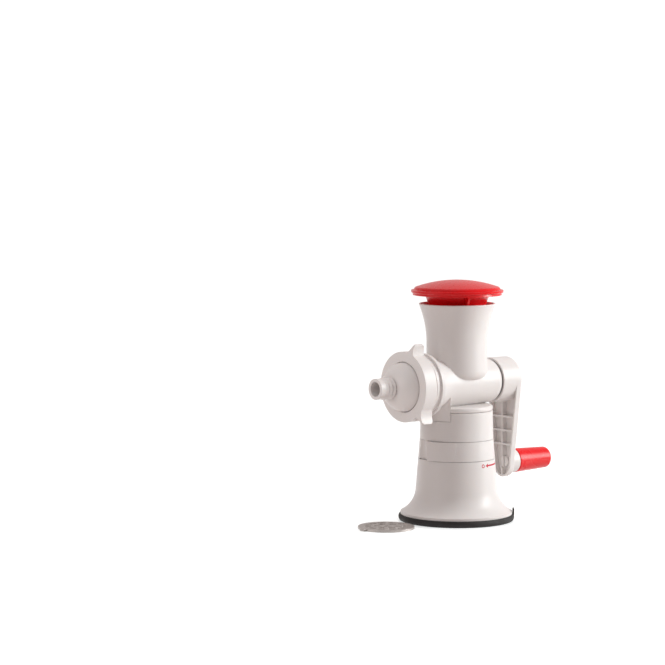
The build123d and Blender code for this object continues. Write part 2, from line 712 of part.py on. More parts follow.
with BuildPart() as auger:
    with BuildSketch(Plane.XZ):
        Polygon((auger_front, axis_z), (auger_front, axis_z + auger_core_radius - 1.5),
                (auger_front + 1.5, axis_z + auger_core_radius),
                (flange_x, axis_z + auger_core_radius + 1.2), (flange_x, axis_z + flange_radius),
                (flange_back, axis_z + flange_radius), (flange_back, axis_z + journal_radius),
                (journal_end, axis_z + journal_radius), (journal_end, axis_z), align=None)
    revolve(axis=shaft_axis)
    with BuildSketch(across(journal_end)):
        Circle(tail_root_radius)
        with PolarLocations(tail_root_radius, tail_teeth):
            Rectangle(2 * (tail_radius - tail_root_radius) + 2, tail_tooth_width)
        Circle(tail_radius, mode=Mode.INTERSECT)
    extrude(amount=tail_end - journal_end)
    add(flight.part.moved(flight_plane.location))
    lead_radius = flight_radius(auger_front)
    lead_turn = acos(auger_core_radius / lead_radius) * 180 / pi
    with BuildSketch(across(auger_front)):
        Polygon((0, 0), polar(lead_radius, flight_start_angle),
                polar(auger_core_radius, flight_start_angle + lead_turn), align=None)
    extrude(amount=flight_thickness)
    with BuildSketch(across(tail_end)):
        Circle(tail_socket_radius)
    extrude(amount=-tail_socket_depth, mode=Mode.SUBTRACT)
    with BuildSketch(across(auger_front)):
        Circle(nose_recess_radius)
    extrude(amount=nose_recess_depth, mode=Mode.SUBTRACT)
    with BuildSketch(across(auger_front)):
        Rectangle(square_size + 2 * snug_gap, square_size + 2 * snug_gap, rotation=square_turn)
    extrude(amount=square_end - auger_front + snug_gap, mode=Mode.SUBTRACT)
save(auger, "auger")

with BuildPart() as drive_square:
    with BuildSketch(across(square_front)):
        RectangleRounded(square_size, square_size, 0.8, rotation=square_turn)
    extrude(amount=square_length)
    chamfer(drive_square.faces().sort_by(Axis.X)[0].edges(), 0.5)
    with BuildSketch(across(square_front)):
        Circle(square_hole_radius)
    extrude(amount=square_hole_depth, mode=Mode.SUBTRACT)
save(drive_square, "drive_square")

# ---- knife: four swept blades, one from each corner of a square hub ---------------
hub_corner = knife_hub_size / 2 * sqrt(2) - 0.6
with BuildPart() as knife:
    with BuildSketch(across(knife_front)):
        for blade in range(blade_count):
            turn = 360 / blade_count * blade + square_turn - 45
            with BuildLine():
                root_a = polar(hub_corner, turn)
                root_b = polar(knife_hub_size / 2 - 0.5, turn + 58)
                tip_a = polar(knife_radius, turn + blade_sweep - 6)
                tip_b = polar(knife_radius, turn + blade_sweep + 5)
                Line(root_b, root_a)
                ThreePointArc(root_a, polar(knife_radius * 0.74, turn + 10), tip_a)
                ThreePointArc(tip_a, polar(knife_radius, turn + blade_sweep), tip_b)
                ThreePointArc(tip_b, polar(knife_radius * 0.62, turn + blade_sweep + 6), root_b)
            make_face()
    extrude(amount=blade_thickness)
    with BuildSketch(across(knife_front)):
        RectangleRounded(knife_hub_size, knife_hub_size, 1.0, rotation=square_turn)
    extrude(amount=knife_thickness)
    with BuildSketch(across(knife_front)):
        Rectangle(square_size + 2 * running_gap, square_size + 2 * running_gap, rotation=square_turn)
    extrude(amount=knife_thickness, mode=Mode.SUBTRACT)
save(knife, "knife")


# ---- plates: a fine one in place, and a coarse spare flat on the floor -------------
def make_plate(plane, hole_radius, rings):
    """One perforated disc with its tab, lying on a plane, pierced by rings of holes."""
    with BuildPart() as plate:
        with BuildSketch(plane):
            Circle(plate_radius)
            with Locations((0, plate_radius)):
                Rectangle(plate_tab_width, 2 * plate_tab_height)
            Circle(plate_centre_radius, mode=Mode.SUBTRACT)
            for ring_radius, count, first in rings:
                with PolarLocations(ring_radius, count, start_angle=first):
                    Circle(hole_radius, mode=Mode.SUBTRACT)
        extrude(amount=plate_thickness)
    return plate


save(make_plate(across(plate_front), fine_hole_radius, fine_rings), "fine_plate")
spare_x = -(pad_radius + spare_plate_gap + plate_radius)
spare_plane = Plane(origin=(spare_x, 0, 0), x_dir=(0, 1, 0), z_dir=(0, 0, 1))
save(make_plate(spare_plane, coarse_hole_radius, coarse_rings), "coarse_plate")

# ---- nozzle: notched rim, dome and ribbed spout ------------------------------------
dome_tip_x = rim_front - nozzle_dome_length
with BuildPart() as nozzle:
    with BuildSketch(Plane.XZ):
        with BuildLine():
            dome_foot = (rim_front, axis_z + nozzle_dome_radius)
            dome_tip = (dome_tip_x, axis_z + spout_radius)
            Polyline((rim_back, axis_z), (rim_back, axis_z + nozzle_rim_radius),
                     (rim_front, axis_z + nozzle_rim_radius), dome_foot)
            TangentArc(dome_foot, dome_tip, tangent=(-0.82, 0.12))
            Polyline(dome_tip, (nozzle_tip, axis_z + spout_radius), (nozzle_tip, axis_z),
                     (rim_back, axis_z))
        make_face()
    revolve(axis=shaft_axis)
    for turn in range(spout_rib_count):
        rib_start = dome_tip_x - 1.2 - turn * spout_rib_pitch
        with BuildSketch(Plane.XZ):
            Polygon((rib_start, axis_z + spout_radius - 0.5),
                    (rib_start, axis_z + spout_radius + spout_rib_height),
                    (rib_start - spout_rib_width, axis_z + spout_radius + spout_rib_height * 0.35),
                    (rib_start - spout_rib_width, axis_z + spout_radius - 0.5), align=None)
        revolve(axis=shaft_axis)
    with BuildSketch(across(nozzle_tip)):
        Circle(spout_radius + spout_end_height)
    extrude(amount=spout_end_length)
    for turn in range(4):
        with BuildSketch(Plane(origin=(0, 0, axis_z), x_dir=(1, 0, 0), z_dir=(0, *polar(1, 90 * turn)))):
            Polygon((dome_tip_x + 4, spout_radius - 1), (dome_tip_x + 4, spout_radius + gusset_height),
                    (dome_tip_x - 3.6, spout_radius - 1), align=None)
        extrude(amount=0.9, both=True)
    with BuildSketch(Plane.XZ):
        with BuildLine():
            wall_foot = (rim_front, axis_z + nozzle_dome_radius - nozzle_wall)
            wall_tip = (dome_tip_x + nozzle_wall, axis_z + spout_radius - nozzle_wall)
            Polyline((rim_back, axis_z), (rim_back, axis_z + nozzle_dome_radius - nozzle_wall), wall_foot)
            TangentArc(wall_foot, wall_tip, tangent=(-0.82, 0.12))
            Polyline(wall_tip, (nozzle_tip, axis_z + spout_radius - nozzle_wall), (nozzle_tip, axis_z),
                     (rim_back, axis_z))
        make_face()
    revolve(axis=shaft_axis, mode=Mode.SUBTRACT)
    with BuildSketch(across(rim_front - 0.5)):
        with PolarLocations(nozzle_rim_radius, 4):
            Rectangle(2 * nozzle_notch_depth, nozzle_notch_width)
    extrude(amount=nozzle_rim_thickness + 1, mode=Mode.SUBTRACT)
save(nozzle, "nozzle")

# ---- ring nut: clamps nozzle and plate on the barrel, with three scooped lugs ------
with BuildPart() as ring_nut:
    with BuildSketch(across(ring_front)):
        Circle(ring_outer_radius)
        for turn in range(ring_lug_count):
            lug = ring_lug_angle + 360 / ring_lug_count * turn
            with BuildLine():
                lug_tip = polar(ring_outer_radius + ring_lug_height, lug)
                lug_back = polar(ring_outer_radius + ring_lug_height - 1.5, lug + 2.4)
                steep_foot = polar(ring_outer_radius - 0.6, lug + 6.5)
                gentle_foot = polar(ring_outer_radius - 0.6, lug - ring_lug_lean)
                Line(lug_tip, lug_back)
                ThreePointArc(lug_back, polar(ring_outer_radius + 3.2, lug + 3.8), steep_foot)
                Line(steep_foot, gentle_foot)
                ThreePointArc(gentle_foot, polar(ring_outer_radius + 2.4, lug - 6.5), lug_tip)
            make_face()
    extrude(amount=ring_depth)
    with BuildSketch(Plane.XZ):
        with BuildLine():
            lug_reach = axis_z + ring_outer_radius + ring_lug_height + 0.5
            front_side = (ring_front, lug_reach - ring_lug_round)
            front_top = (ring_front + ring_lug_round, lug_reach)
            back_top = (ring_front + ring_depth - ring_lug_round, lug_reach)
            back_side = (ring_front + ring_depth, lug_reach - ring_lug_round)
            Line((ring_front, axis_z), front_side)
            TangentArc(front_side, front_top, tangent=(0, 1))
            Line(front_top, back_top)
            TangentArc(back_top, back_side, tangent=(1, 0))
            Polyline(back_side, (ring_front + ring_depth, axis_z), (ring_front, axis_z))
        make_face()
    revolve(axis=shaft_axis, mode=Mode.INTERSECT)
    with BuildSketch(Plane.XZ):
        ring_end = ring_front + ring_depth + 1
        Polygon((ring_front - 1, axis_z), (ring_front - 1, axis_z + ring_opening_radius),
                (ring_back_of_wall, axis_z + ring_opening_radius),
                (ring_back_of_wall, axis_z + ring_inner_radius),
                (ring_end, axis_z + ring_inner_radius), (ring_end, axis_z), align=None)
    revolve(axis=shaft_axis, mode=Mode.SUBTRACT)
    for turn in range(2):
        groove_x = barrel_front + thread_start + turn * thread_pitch
        with BuildSketch(Plane.XZ):
            Polygon((groove_x - 0.8, axis_z + ring_inner_radius - 0.2),
                    (groove_x, axis_z + ring_inner_radius + ring_groove_depth),
                    (groove_x + 1.2, axis_z + ring_inner_radius + ring_groove_depth),
                    (groove_x + 2.2, axis_z + ring_inner_radius - 0.2), align=None)
        revolve(axis=shaft_axis, mode=Mode.SUBTRACT)
save(ring_nut, "ring_nut")

# ---- pusher: hollow, with a flange, a collar for the cap and a saddle over the auger ---
with BuildPart() as pusher:
    with BuildSketch(Plane.XZ):
        with BuildLine():
            under = (pusher_shoulder_radius, pusher_flange_z)
            waist = (pusher_waist_radius, pusher_flange_z - pusher_waist_drop)
            Polyline((0, pusher_floor_z), (pusher_foot_radius, pusher_floor_z), waist)
            TangentArc(waist, under, tangent=(waist[0] - pusher_foot_radius, waist[1] - pusher_floor_z))
            Polyline(under, (pusher_flange_radius, pusher_flange_z),
                     (pusher_flange_radius, pusher_flange_z + pusher_flange_thickness),
                     (pusher_collar_radius, pusher_flange_z + pusher_flange_thickness),
                     (pusher_collar_radius, collar_top_z), (0, collar_top_z), (0, pusher_floor_z))
        make_face()
    revolve(axis=Axis.Z)
    for turn in range(stop_rib_count):
        rib_angle = stop_rib_angle + 360 / stop_rib_count * turn
        rib_plane = Plane(origin=(0, 0, 0), x_dir=(*polar(1, rib_angle), 0),
                          z_dir=(*polar(1, rib_angle - 90), 0))
        with BuildSketch(rib_plane):
            Polygon((pusher_foot_radius, pusher_flange_z + 1),
                    (stop_rib_seat + stop_rib_spread, pusher_flange_z + 1),
                    (stop_rib_seat + stop_rib_spread, hopper_mouth_z + 1.4 * stop_rib_spread),
                    (stop_rib_seat, hopper_mouth_z - 0.4),
                    (pusher_waist_radius - 0.5, stop_rib_bottom), (pusher_foot_radius, stop_rib_bottom),
                    align=None)
        extrude(amount=stop_rib_thickness / 2, both=True)
    with BuildSketch(Plane.XZ):
        with BuildLine():
            inner_under = (pusher_shoulder_radius - pusher_wall, pusher_flange_z)
            inner_waist = (pusher_waist_radius - pusher_wall, pusher_flange_z - pusher_waist_drop)
            inner_floor = pusher_floor_z + saddle_depth + pusher_wall
            inner_foot = (pusher_foot_radius - pusher_wall, inner_floor)
            Polyline((0, inner_floor), inner_foot, inner_waist)
            TangentArc(inner_waist, inner_under,
                       tangent=(inner_waist[0] - inner_foot[0], inner_waist[1] - inner_foot[1]))
            collar_inner = pusher_collar_radius - pusher_wall
            Polyline(inner_under, (collar_inner, pusher_flange_z + pusher_flange_thickness),
                     (collar_inner, collar_top_z), (0, collar_top_z), (0, inner_floor))
        make_face()
    revolve(axis=Axis.Z, mode=Mode.SUBTRACT)
    with BuildSketch(Plane.YZ.offset(-2 * pusher_foot_radius)):
        with Locations((0, pusher_floor_z + saddle_depth - saddle_radius)):
            Circle(saddle_radius)
    extrude(amount=4 * pusher_foot_radius, mode=Mode.SUBTRACT)
save(pusher, "pusher")

with BuildPart() as cap:
    with BuildSketch(Plane.XZ):
        with BuildLine():
            lip = (cap_radius, cap_z + cap_lip_height)
            shoulder = (cap_shoulder_radius, cap_z + cap_lip_height + 0.8)
            crown = (cap_crown_radius, cap_z + cap_crown_height)
            top = (0, cap_z + cap_height)
            Polyline(top, (0, cap_z), (cap_radius - 0.8, cap_z), (cap_radius, cap_z + 0.8), lip, shoulder)
            ThreePointArc(shoulder, (cap_shoulder_radius - 1.0, cap_z + cap_crown_height * 0.82), crown)
            TangentArc(top, crown, tangent=(1, 0))
        make_face()
    revolve(axis=Axis.Z)
    with BuildSketch(Plane.XY.offset(cap_z)):
        Circle(pusher_collar_radius + hand_gap)
    extrude(amount=collar_top_z + hand_gap / 3 - cap_z, mode=Mode.SUBTRACT)
    with BuildSketch(Plane.XY.offset(collar_top_z + hand_gap / 3 - 4)):
        Circle(pusher_collar_radius - pusher_wall - hand_gap)
        Circle(pusher_collar_radius - pusher_wall - hand_gap - 1.8, mode=Mode.SUBTRACT)
    extrude(amount=4.5)
save(cap, "cap")

# ---- crank: hub cup with its splined ring, and the arm's ribbed channel ------------
with BuildPart() as crank_arm:
    with BuildSketch(across(arm_front)) as arm_outline:
        Circle(hub_radius)
        with Locations((0, -crank_radius - arm_end_drop)):
            Circle(arm_end_radius)
        make_hull()
    extrude(amount=arm_depth)
    fillet(crank_arm.faces().sort_by(Axis.X)[-1].edges(), arm_back_round)
    with BuildSketch(across(hub_open_x)):
        Circle(hub_radius)
    extrude(amount=hub_depth - arm_back_round)
    # the channel, open towards -X, leaves a rim, a long web and cross ribs
    with BuildSketch(across(arm_front)):
        Circle(hub_radius - arm_wall)
        with Locations((0, -crank_radius - arm_end_drop)):
            Circle(arm_end_radius - arm_wall)
        make_hull()
        Circle(hub_radius, mode=Mode.SUBTRACT)
        Rectangle(arm_web_thickness, 3 * crank_radius, mode=Mode.SUBTRACT)
        for drop in arm_rib_drops:
            with Locations((0, -drop)):
                Rectangle(2 * hub_radius, arm_web_thickness, mode=Mode.SUBTRACT)
        with Locations((0, -crank_radius)):
            Circle(grip_pin_head_radius + hand_gap)
    extrude(amount=arm_depth - arm_floor, mode=Mode.SUBTRACT)
    with BuildSketch(across(hub_open_x)):
        Circle(hub_radius - hub_wall)
        Circle(spline_ring_radius, mode=Mode.SUBTRACT)
    extrude(amount=hub_depth - arm_floor, mode=Mode.SUBTRACT)
    with BuildSketch(across(hub_open_x)):
        Circle(hub_radius - hub_wall)
    extrude(amount=spline_ring_recess, mode=Mode.SUBTRACT)
    with BuildSketch(across(hub_open_x)):
        Circle(spline_root_radius)
        with PolarLocations(spline_root_radius, tail_teeth, start_angle=180 / tail_teeth):
            Rectangle(2 * (spline_root_radius - spline_tooth_radius), ring_tooth_width, mode=Mode.SUBTRACT)
        Circle(spline_tooth_radius)
    extrude(amount=hub_depth - arm_floor, mode=Mode.SUBTRACT)
    with BuildSketch(across(hub_open_x + spline_ring_recess + 1)):
        for turn in range(4):
            with Locations(Location((0, 0, 0), (0, 0, 90 * turn))):
                with Locations(((spline_ring_radius + hub_radius - hub_wall) / 2, 0)):
                    Rectangle(hub_radius - hub_wall - spline_ring_radius + 1, arm_web_thickness)
    extrude(amount=hub_floor - hub_open_x - spline_ring_recess)
    # boss behind the lower end, bored for the grip's pin
    with BuildSketch(across(hub_floor, grip_z)):
        Circle(boss_radius)
    extrude(amount=arm_floor + boss_length)
    with BuildSketch(across(hub_floor - 1, grip_z)):
        Circle(grip_pin_radius + snug_gap)
    extrude(amount=arm_floor + boss_length + 2, mode=Mode.SUBTRACT)
    with BuildSketch(across(hub_floor - 1)):
        Circle(core_peg_radius + snug_gap)
    extrude(amount=core_peg_length + 1, mode=Mode.SUBTRACT)
save(crank_arm, "crank_arm")

with BuildPart() as drive_core:
    with BuildSketch(across(hub_floor - core_disc_thickness)):
        Circle(core_disc_radius)
    extrude(amount=core_disc_thickness)
    with BuildSketch(across(hub_floor - core_disc_thickness - core_boss_height)):
        RegularPolygon(core_boss_radius, 8)
    extrude(amount=core_boss_height)
    with BuildSketch(across(hub_floor)):
        Circle(core_peg_radius)
    extrude(amount=core_peg_length - snug_gap)
save(drive_core, "drive_core")

with BuildPart() as crank_washer:
    with BuildSketch(across(washer_start)):
        Circle(washer_outer_radius)
        Circle(tail_radius + running_gap + 0.3, mode=Mode.SUBTRACT)
    extrude(amount=washer_thickness)
save(crank_washer, "crank_washer")

# ---- grip, spinning on its pin -----------------------------------------------------
with BuildPart() as grip:
    with BuildSketch(Plane.XZ):
        with BuildLine():
            tip = (grip_end - 3.5, grip_z + grip_tip_radius)
            Polyline((grip_start, grip_z), (grip_start, grip_z + grip_root_radius - 0.8),
                     (grip_start + 0.8, grip_z + grip_root_radius), tip)
            ThreePointArc(tip, (grip_end - 1.0, grip_z + grip_tip_radius - 1.2),
                          (grip_end, grip_z + grip_tip_radius - 3.8))
            Polyline((grip_end, grip_z + grip_tip_radius - 3.8), (grip_end, grip_z), (grip_start, grip_z))
        make_face()
    revolve(axis=grip_axis)
    cavity_start = grip_start + grip_bearing_length
    with BuildSketch(across(grip_start, grip_z)):
        Circle(grip_bore_radius)
    extrude(amount=grip_bearing_length, mode=Mode.SUBTRACT)
    with BuildSketch(across(cavity_start, grip_z)):
        Circle(grip_cavity_radius)
    extrude(amount=grip_length - grip_bearing_length - grip_end_wall, mode=Mode.SUBTRACT)
save(grip, "grip")

clip_start = cavity_start + hand_gap
with BuildPart() as grip_pin:
    with BuildSketch(across(hub_floor, grip_z)):
        Circle(grip_pin_head_radius)
    extrude(amount=-grip_pin_head_height)
    fillet(grip_pin.edges().sort_by(Axis.X)[0], 0.8)
    with Locations((hub_floor - grip_pin_head_height, 0, grip_z)):
        Box(2 * grip_pin_slot_depth, grip_pin_slot_width, 3 * grip_pin_head_radius, mode=Mode.SUBTRACT)
    with BuildSketch(across(hub_floor, grip_z)):
        Circle(grip_pin_radius)
    extrude(amount=clip_start + grip_clip_thickness + grip_pin_overhang - hub_floor)
save(grip_pin, "grip_pin")

with BuildPart() as grip_clip:
    with BuildSketch(across(clip_start, grip_z)):
        Circle(grip_clip_radius)
        Circle(grip_pin_radius + snug_gap, mode=Mode.SUBTRACT)
    extrude(amount=grip_clip_thickness)
save(grip_clip, "grip_clip")
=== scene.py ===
"""Looks of a hand crank meat grinder on a suction base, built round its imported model.

Everything is in metres, +Z up. The barrel runs along X: the meat leaves towards -X and
the crank is at +X. The model's own nodes keep their shape and get the finishes here. The
knife is replaced by a finer one with cupped blades, and the base gets its printed mark.
"""

import math

import bmesh
import bpy
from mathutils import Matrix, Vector


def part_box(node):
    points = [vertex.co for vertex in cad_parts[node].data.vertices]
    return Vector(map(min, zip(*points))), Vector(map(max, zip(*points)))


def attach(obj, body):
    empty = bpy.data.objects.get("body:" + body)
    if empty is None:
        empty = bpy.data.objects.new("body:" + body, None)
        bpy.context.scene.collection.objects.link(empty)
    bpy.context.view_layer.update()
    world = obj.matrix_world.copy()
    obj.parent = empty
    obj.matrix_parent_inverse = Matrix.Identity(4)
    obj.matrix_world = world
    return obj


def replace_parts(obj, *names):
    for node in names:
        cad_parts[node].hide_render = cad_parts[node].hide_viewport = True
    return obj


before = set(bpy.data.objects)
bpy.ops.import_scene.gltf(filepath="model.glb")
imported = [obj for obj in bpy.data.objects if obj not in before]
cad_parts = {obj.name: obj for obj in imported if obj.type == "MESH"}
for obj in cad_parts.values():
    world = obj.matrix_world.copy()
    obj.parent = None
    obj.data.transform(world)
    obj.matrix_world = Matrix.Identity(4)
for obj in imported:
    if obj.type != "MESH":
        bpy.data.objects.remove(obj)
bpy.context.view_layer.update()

MM = 0.001
COLLECTION = bpy.context.scene.collection


def centre(node):
    """The middle of a node's box at rest."""
    low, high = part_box(node)
    return (low + high) / 2


SHAFT_Z = centre("drive_square").z

# ---- camera --------------------------------------------------------------------------
CAMERA_AZIMUTH = math.radians(-41)
CAMERA_DISTANCE = 2.94  # from the base's axis, level with the floor
CAMERA_HEIGHT = 0.469
CAMERA_PITCH = math.radians(-4.72)
CAMERA_YAW = math.radians(2.92)  # the base stands right of the middle, the pieces left of it
CAMERA_LENS = 132.6


def make_camera():
    data = bpy.data.cameras.new("camera")
    data.lens = CAMERA_LENS
    data.sensor_width = 36
    data.clip_end = 200
    camera = bpy.data.objects.new("camera", data)
    COLLECTION.objects.link(camera)
    camera.location = (
        CAMERA_DISTANCE * math.sin(CAMERA_AZIMUTH),
        -CAMERA_DISTANCE * math.cos(CAMERA_AZIMUTH),
        CAMERA_HEIGHT,
    )
    camera.rotation_euler = (math.radians(90) + CAMERA_PITCH, 0, CAMERA_AZIMUTH + CAMERA_YAW)
    bpy.context.scene.camera = camera


make_camera()


# ---- finishes ------------------------------------------------------------------------
PLASTIC_IOR = 1.46
BEVEL_SAMPLES = 4


def mix_colours(nodes, links, amount, first, second):
    """A colour mix node of two colours by an amount, and its output."""
    mix = nodes.new("ShaderNodeMix")
    mix.data_type = "RGBA"
    for socket, value in ((mix.inputs[0], amount), (mix.inputs[6], first), (mix.inputs[7], second)):
        if isinstance(value, bpy.types.NodeSocket):
            links.new(value, socket)
        elif socket.type == "RGBA":
            socket.default_value = (*value, 1) if len(value) == 3 else value
        else:
            socket.default_value = value
    return mix.outputs[2]


def noise(nodes, links, vector, scale, detail, roughness=0.55, distortion=0.0):
    """A noise texture's factor at this many waves to the metre."""
    texture = nodes.new("ShaderNodeTexNoise")
    texture.inputs["Scale"].default_value = scale
    texture.inputs["Detail"].default_value = detail
    texture.inputs["Roughness"].default_value = roughness
    texture.inputs["Distortion"].default_value = distortion
    links.new(vector, texture.inputs["Vector"])
    return texture.outputs["Fac"]


def remap(nodes, links, value, low, high, new_low, new_high):
    """A value brought from one range to another, clamped."""
    node = nodes.new("ShaderNodeMapRange")
    for name, number in (("From Min", low), ("From Max", high), ("To Min", new_low), ("To Max", new_high)):
        node.inputs[name].default_value = number
    links.new(value, node.inputs["Value"])
    return node.outputs["Result"]


def start_material(name):
    """A new node material: its nodes, links, shader and the piece's own coordinates."""
    material = bpy.data.materials.new(name)
    material.use_nodes = True
    nodes, links = material.node_tree.nodes, material.node_tree.links
    shader = nodes["Principled BSDF"]
    coordinates = nodes.new("ShaderNodeTexCoord").outputs["Object"]
    return material, nodes, links, shader, coordinates


def soft_edge(nodes, links, radius):
    """The normal of edges rounded by this radius, and how much of an edge is here, 0 to 1."""
    bevel = nodes.new("ShaderNodeBevel")
    bevel.samples = BEVEL_SAMPLES
    bevel.inputs["Radius"].default_value = radius
    geometry = nodes.new("ShaderNodeNewGeometry")
    dot = nodes.new("ShaderNodeVectorMath")
    dot.operation = "DOT_PRODUCT"
    links.new(bevel.outputs["Normal"], dot.inputs[0])
    links.new(geometry.outputs["Normal"], dot.inputs[1])
    return bevel.outputs["Normal"], remap(nodes, links, dot.outputs["Value"], 0.98, 0.8, 0, 1)


def add_bump(nodes, links, shader, height, distance, strength, normal):
    """A fine relief on top of a normal."""
    bump = nodes.new("ShaderNodeBump")
    bump.inputs["Distance"].default_value = distance
    bump.inputs["Strength"].default_value = strength
    links.new(height, bump.inputs["Height"])
    links.new(normal, bump.inputs["Normal"])
    links.new(bump.outputs["Normal"], shader.inputs["Normal"])


def moulded_plastic(name, colour, deep, edge, roughness, grain, edge_radius, subsurface=0.0, specular=0.5,
                    skin=0.25):
    """Injection moulded plastic: cloudy colour, a fine grain, smudged gloss and worn edges.
    The grain is in waves to the metre, and skin says how strongly it is felt."""
    material, nodes, links, shader, place = start_material(name)
    rounded, edge_share = soft_edge(nodes, links, edge_radius)
    clouds = noise(nodes, links, place, 14, 4, 0.5)
    body = mix_colours(nodes, links, remap(nodes, links, clouds, 0.35, 0.7, 0, 1), colour, deep)
    scuffs = noise(nodes, links, place, 260, 5, 0.7, 0.4)
    worn = nodes.new("ShaderNodeMath")
    worn.operation = "MULTIPLY"
    links.new(edge_share, worn.inputs[0])
    links.new(remap(nodes, links, scuffs, 0.45, 0.7, 0.05, 0.55), worn.inputs[1])
    links.new(mix_colours(nodes, links, worn.outputs[0], body, edge), shader.inputs["Base Color"])
    smudges = noise(nodes, links, place, 38, 6, 0.62, 0.8)
    gloss = remap(nodes, links, smudges, 0.3, 0.75, roughness * 0.93, roughness * 1.12)
    links.new(gloss, shader.inputs["Roughness"])
    shader.inputs["IOR"].default_value = PLASTIC_IOR
    shader.inputs["Specular IOR Level"].default_value = specular
    if subsurface:
        shader.inputs["Subsurface Weight"].default_value = subsurface
        shader.inputs["Subsurface Radius"].default_value = (1.0, 0.7, 0.5)
        shader.inputs["Subsurface Scale"].default_value = 0.0025
    add_bump(nodes, links, shader, noise(nodes, links, place, grain, 2), 0.04 * MM, skin, rounded)
    return material


def turned_place(nodes, links, place, middle, axis):
    """Coordinates that change fast with the distance from an axis and slowly round it."""
    offset = nodes.new("ShaderNodeVectorMath")
    offset.operation = "SUBTRACT"
    offset.inputs[1].default_value = middle
    links.new(place, offset.inputs[0])
    across = nodes.new("ShaderNodeVectorMath")
    across.operation = "CROSS_PRODUCT"
    across.inputs[1].default_value = axis
    links.new(offset.outputs["Vector"], across.inputs[0])
    radius = nodes.new("ShaderNodeVectorMath")
    radius.operation = "LENGTH"
    links.new(across.outputs["Vector"], radius.inputs[0])
    rings = nodes.new("ShaderNodeCombineXYZ")
    links.new(radius.outputs["Value"], rings.inputs["X"])
    slow = nodes.new("ShaderNodeVectorMath")
    slow.operation = "MULTIPLY_ADD"
    slow.inputs[1].default_value = (0.03, 0.03, 0.03)
    links.new(place, slow.inputs[0])
    links.new(rings.outputs["Vector"], slow.inputs[2])
    return slow.outputs["Vector"]


def worked_steel(name, colour, dark, bright, roughness, stretch, scratch_scale, edge_radius=0.35 * MM,
                 turned=None):
    """Stainless steel with a directional grain: stretch squeezes the pattern along each axis.
    With turned, a point and an axis, the grain runs in rings round that axis instead."""
    material, nodes, links, shader, place = start_material(name)
    rounded, edge_share = soft_edge(nodes, links, edge_radius)
    squeeze = nodes.new("ShaderNodeMapping")
    squeeze.inputs["Scale"].default_value = stretch
    links.new(place if turned is None else turned_place(nodes, links, place, *turned),
              squeeze.inputs["Vector"])
    lines = noise(nodes, links, squeeze.outputs["Vector"], scratch_scale, 6, 0.72)
    stains = noise(nodes, links, place, 60, 5, 0.6, 1.2)
    base = mix_colours(nodes, links, remap(nodes, links, stains, 0.4, 0.72, 0, 1), colour, dark)
    base = mix_colours(nodes, links, remap(nodes, links, lines, 0.5, 0.72, 0, 0.45), base, bright)
    base = mix_colours(nodes, links, remap(nodes, links, edge_share, 0, 1, 0, 0.7), base, bright)
    links.new(base, shader.inputs["Base Color"])
    shader.inputs["Metallic"].default_value = 1.0
    links.new(remap(nodes, links, lines, 0.3, 0.75, roughness * 0.75, roughness * 1.35),
              shader.inputs["Roughness"])
    add_bump(nodes, links, shader, lines, 0.04 * MM, 0.3, rounded)
    return material


def black_rubber():
    """Matte suction rubber, a little dusty, with a fine pebbled skin."""
    material, nodes, links, shader, place = start_material("suction_rubber")
    rounded, edge_share = soft_edge(nodes, links, 0.8 * MM)
    dust = noise(nodes, links, place, 45, 6, 0.65, 0.6)
    base = mix_colours(nodes, links, remap(nodes, links, dust, 0.45, 0.75, 0, 0.5),
                       (0.008, 0.0055, 0.005), (0.024, 0.018, 0.016))
    base = mix_colours(nodes, links, remap(nodes, links, edge_share, 0, 1, 0, 0.5),
                       base, (0.045, 0.036, 0.032))
    links.new(base, shader.inputs["Base Color"])
    links.new(remap(nodes, links, dust, 0.3, 0.7, 0.5, 0.78), shader.inputs["Roughness"])
    add_bump(nodes, links, shader, noise(nodes, links, place, 1400, 2), 0.1 * MM, 0.5, rounded)
    return material


WHITE = moulded_plastic("white_moulding", (0.80, 0.765, 0.75), (0.765, 0.73, 0.715), (0.86, 0.84, 0.83),
                        roughness=0.36, grain=1900, edge_radius=0.7 * MM, subsurface=0.08)
RED = moulded_plastic("red_moulding", (0.80, 0.004, 0.008), (0.75, 0.0035, 0.0075), (0.86, 0.03, 0.03),
                      roughness=0.27, grain=1500, edge_radius=0.2 * MM, subsurface=0.05, specular=0.34,
                      skin=0.08)
DARK_RED = moulded_plastic("red_core", (0.40, 0.006, 0.008), (0.28, 0.004, 0.006), (0.6, 0.03, 0.03),
                           roughness=0.35, grain=1500, edge_radius=0.5 * MM)
CREAM = moulded_plastic("cream_bearing", (0.86, 0.64, 0.45), (0.80, 0.56, 0.37), (0.92, 0.76, 0.60),
                        roughness=0.42, grain=2200, edge_radius=0.4 * MM, subsurface=0.15)
GREY_ACETAL = moulded_plastic("grey_acetal", (0.44, 0.45, 0.47), (0.36, 0.37, 0.39), (0.60, 0.61, 0.62),
                              roughness=0.38, grain=2200, edge_radius=0.5 * MM)
PRINT = moulded_plastic("red_print", (0.56, 0.006, 0.028), (0.50, 0.005, 0.022), (0.66, 0.03, 0.05),
                        roughness=0.5, grain=2600, edge_radius=0.05 * MM)
RUBBER = black_rubber()

